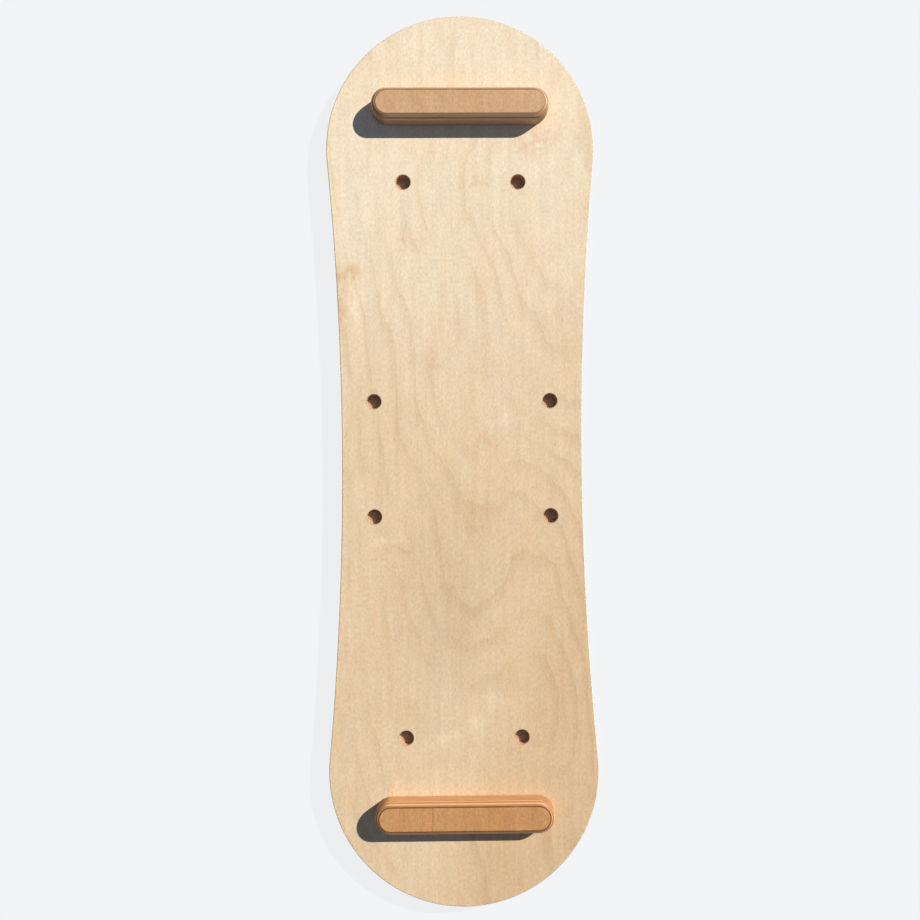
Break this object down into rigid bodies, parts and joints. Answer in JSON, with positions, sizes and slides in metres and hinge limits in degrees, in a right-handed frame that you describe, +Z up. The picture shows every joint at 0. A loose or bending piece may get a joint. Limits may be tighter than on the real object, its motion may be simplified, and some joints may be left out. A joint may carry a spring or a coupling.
{
  "type": "balance board",
  "caption": "Waisted plywood balance board with round ends, two plug-in stop bars on its roller side and spare pairs of peg sockets for moving the stops.",
  "frame": {"origin": "on the surface the deck lies on, under the deck's centre", "axes": "+Z up through the board to its roller side, +Y along the board towards the back stop, +X across it"},
  "size_m": [0.3, 0.994, 0.0363],
  "materials": {
    "deck_birch": "pale birch plywood, sanded and matt sealed",
    "oiled_birch": "birch plywood, oiled orange brown, satin",
    "peg_beech": "turned beech dowel, plain"
  },
  "bodies": {
    "deck": {"deck": "deck_birch"},
    "front_stop": {"front_stop_bar": "oiled_birch", "front_stop_peg_left": "peg_beech", "front_stop_peg_right": "peg_beech"},
    "back_stop": {"back_stop_bar": "oiled_birch", "back_stop_peg_left": "peg_beech", "back_stop_peg_right": "peg_beech"}
  },
  "joints": [
    {"name": "front_stop_lift", "type": "slide", "parent": "deck", "child": "front_stop", "axis": [0, 0, 1], "range_m": [0, 0.04]},
    {"name": "back_stop_lift", "type": "slide", "parent": "deck", "child": "back_stop", "axis": [0, 0, 1], "range_m": [0, 0.04]}
  ]
}
